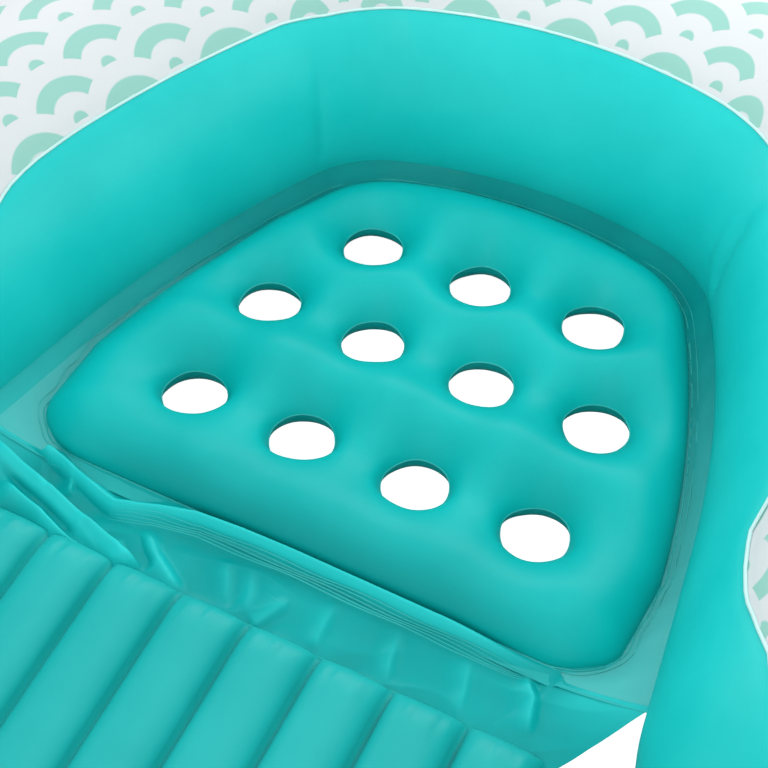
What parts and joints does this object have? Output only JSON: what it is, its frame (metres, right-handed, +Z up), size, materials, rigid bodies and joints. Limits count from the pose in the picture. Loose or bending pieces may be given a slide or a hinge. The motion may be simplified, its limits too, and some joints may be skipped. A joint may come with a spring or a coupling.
{
  "type": "inflatable pool armchair",
  "caption": "Inflatable pool armchair: a U-shaped air tube makes the arms and back round a seat pad with through holes, with a ribbed leg rest that folds on a film hinge.",
  "frame": {"origin": "on the ground under the middle of the chair's overall box", "axes": "+X to the sitter's left, +Y to the back, +Z up"},
  "size_m": [1.1576, 1.2492, 0.2946],
  "materials": {
    "teal_film": "satin vinyl film",
    "printed_film": "white vinyl film with a pale mint print",
    "translucent_film": "translucent teal vinyl film",
    "valve_vinyl": "clear soft vinyl",
    "flap_vinyl": "soft vinyl"
  },
  "bodies": {
    "chair": {"arm_back_inner_panel": "teal_film", "arm_back_outer_panel": "printed_film", "arm_back_base_panel": "teal_film", "tube_bulkhead": "translucent_film", "seat_top_film": "teal_film", "seat_base_sheet": "translucent_film", "hinge_film": "translucent_film", "left_tube_valve_flange": "valve_vinyl", "right_tube_valve_flange": "valve_vinyl", "seat_valve_flange": "valve_vinyl"},
    "leg_rest": {"leg_rest_top_film": "teal_film", "leg_rest_bottom_film": "teal_film", "leg_rest_valve_flange": "valve_vinyl"},
    "left_tube_valve_stem": {"left_tube_valve_stem": "valve_vinyl", "left_tube_valve_cap_ring": "valve_vinyl"},
    "left_tube_valve_flap": {"left_tube_valve_flap": "flap_vinyl"},
    "left_tube_valve_cap": {"left_tube_valve_cap": "valve_vinyl"},
    "right_tube_valve_stem": {"right_tube_valve_stem": "valve_vinyl", "right_tube_valve_cap_ring": "valve_vinyl"},
    "right_tube_valve_flap": {"right_tube_valve_flap": "flap_vinyl"},
    "right_tube_valve_cap": {"right_tube_valve_cap": "valve_vinyl"},
    "seat_valve_stem": {"seat_valve_stem": "valve_vinyl", "seat_valve_cap_ring": "valve_vinyl"},
    "seat_valve_flap": {"seat_valve_flap": "flap_vinyl"},
    "seat_valve_cap": {"seat_valve_cap": "valve_vinyl"},
    "leg_rest_valve_stem": {"leg_rest_valve_stem": "valve_vinyl", "leg_rest_valve_cap_ring": "valve_vinyl"},
    "leg_rest_valve_flap": {"leg_rest_valve_flap": "flap_vinyl"},
    "leg_rest_valve_cap": {"leg_rest_valve_cap": "valve_vinyl"}
  },
  "joints": [
    {"name": "leg_fold", "type": "hinge", "parent": "chair", "child": "leg_rest", "pos_m": [0, -0.13744, 0.08944], "axis": [1, 0, 0], "range_deg": [-100, 70], "deforming": ["hinge_film"]},
    {"name": "left_tube_valve_push", "type": "slide", "parent": "chair", "child": "left_tube_valve_stem", "axis": [-0.1128, 0.7203, 0.6845], "range_m": [0, 0.014]},
    {"name": "left_tube_valve_cap_pull", "type": "slide", "parent": "left_tube_valve_stem", "child": "left_tube_valve_cap", "axis": [-0.1128, 0.7203, 0.6845], "range_m": [0, 0.012]},
    {"name": "left_tube_valve_flap_hinge", "type": "hinge", "parent": "left_tube_valve_stem", "child": "left_tube_valve_flap", "pos_m": [-0.09465, 0.56167, 0.2337], "axis": [0.1059, -0.6762, 0.729], "range_deg": [0, 40]},
    {"name": "right_tube_valve_push", "type": "slide", "parent": "chair", "child": "right_tube_valve_stem", "axis": [0.1128, 0.7203, 0.6845], "range_m": [0, 0.014]},
    {"name": "right_tube_valve_cap_pull", "type": "slide", "parent": "right_tube_valve_stem", "child": "right_tube_valve_cap", "axis": [0.1128, 0.7203, 0.6845], "range_m": [0, 0.012]},
    {"name": "right_tube_valve_flap_hinge", "type": "hinge", "parent": "right_tube_valve_stem", "child": "right_tube_valve_flap", "pos_m": [0.10769, 0.55963, 0.2337], "axis": [-0.1059, -0.6762, 0.729], "range_deg": [0, 40]},
    {"name": "seat_valve_push", "type": "slide", "parent": "chair", "child": "seat_valve_stem", "axis": [0, 0, -1], "range_m": [0, 0.014]},
    {"name": "seat_valve_cap_pull", "type": "slide", "parent": "seat_valve_stem", "child": "seat_valve_cap", "axis": [0, 0, -1], "range_m": [0, 0.012]},
    {"name": "seat_valve_flap_hinge", "type": "hinge", "parent": "seat_valve_stem", "child": "seat_valve_flap", "pos_m": [-0.0066, -0.06044, 0.08637], "axis": [0, -1, 0], "range_deg": [0, 40]},
    {"name": "leg_rest_valve_push", "type": "slide", "parent": "leg_rest", "child": "leg_rest_valve_stem", "axis": [0, 0.15, -0.9887], "range_m": [0, 0.014]},
    {"name": "leg_rest_valve_cap_pull", "type": "slide", "parent": "leg_rest_valve_stem", "child": "leg_rest_valve_cap", "axis": [0, 0.15, -0.9887], "range_m": [0, 0.012]},
    {"name": "leg_rest_valve_flap_hinge", "type": "hinge", "parent": "leg_rest_valve_stem", "child": "leg_rest_valve_flap", "pos_m": [-0.0224, -0.32801, 0.05219], "axis": [0, 0.9887, 0.15], "range_deg": [0, 40]}
  ]
}
